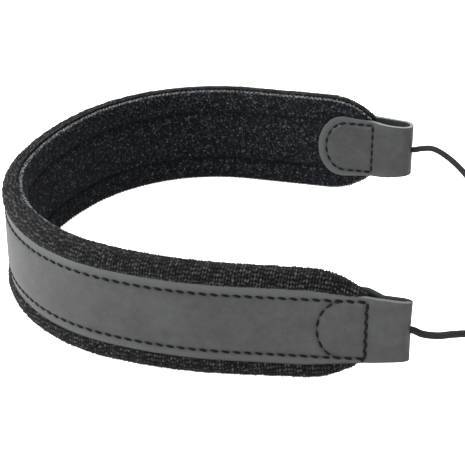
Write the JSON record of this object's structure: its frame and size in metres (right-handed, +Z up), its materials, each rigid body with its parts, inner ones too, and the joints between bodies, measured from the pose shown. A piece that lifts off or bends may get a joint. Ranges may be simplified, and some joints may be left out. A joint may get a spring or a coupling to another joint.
{
  "type": "saxophone neck strap",
  "caption": "Padded collar with a stitched leather strap and end loops, a cord with a sliding adjuster and a swivel snap hook.",
  "frame": {"origin": "on the floor, under the middle of the collar's box, the cord and hook left out", "axes": "+Z up, the collar standing on its lower edge; +X towards the open side, the cord and the hook; the front arm lies at -Y"},
  "size_m": [0.3971, 0.2059, 0.0498],
  "materials": {
    "foam": "open-cell foam",
    "knit": "ribbed knit",
    "terry": "looped terry",
    "seam_yarn": "overlocked yarn",
    "leather": "smooth dark grey, semi-matt",
    "thread": "waxed thread",
    "cord": "braided",
    "moulding": "fine grain",
    "plated": "nickel plate",
    "pin_steel": "ground",
    "spring_steel": "drawn wire"
  },
  "bodies": {
    "strap": {"pad_core": "foam", "outer_cover": "knit", "lining": "terry", "upper_edge_seam": "seam_yarn", "lower_edge_seam": "seam_yarn", "leather_strap": "leather", "upper_stitching": "thread", "lower_stitching": "thread", "front_tab_stitching": "thread", "back_tab_stitching": "thread", "front_knot": "cord", "back_knot": "cord", "cord": "cord"},
    "slider": {"adjuster": "moulding"},
    "swivel": {"swivel_eye": "plated"},
    "hook": {"hook_body": "plated", "gate_pin": "pin_steel", "gate_spring": "spring_steel"},
    "gate_lever": {"gate": "plated"}
  },
  "joints": [
    {"name": "adjuster_slide", "type": "slide", "parent": "strap", "child": "slider", "axis": [1, 0, 0], "range_m": [0, 0.07]},
    {"name": "hook_tilt", "type": "hinge", "parent": "strap", "child": "swivel", "pos_m": [0.256, 0, 0.0046], "axis": [0, 1, 0], "range_deg": [-80, 80]},
    {"name": "hook_swivel", "type": "hinge", "parent": "swivel", "child": "hook", "pos_m": [0.2637, 0, 0.0046], "axis": [1, 0, 0], "continuous": true},
    {"name": "gate_hinge", "type": "hinge", "parent": "hook", "child": "gate_lever", "pos_m": [0.272, 0.0042, 0.0046], "axis": [0, 0, 1], "range_deg": [-20, 0], "stiffness_Nm_per_rad": 0.02, "springref_deg": 20.05}
  ]
}
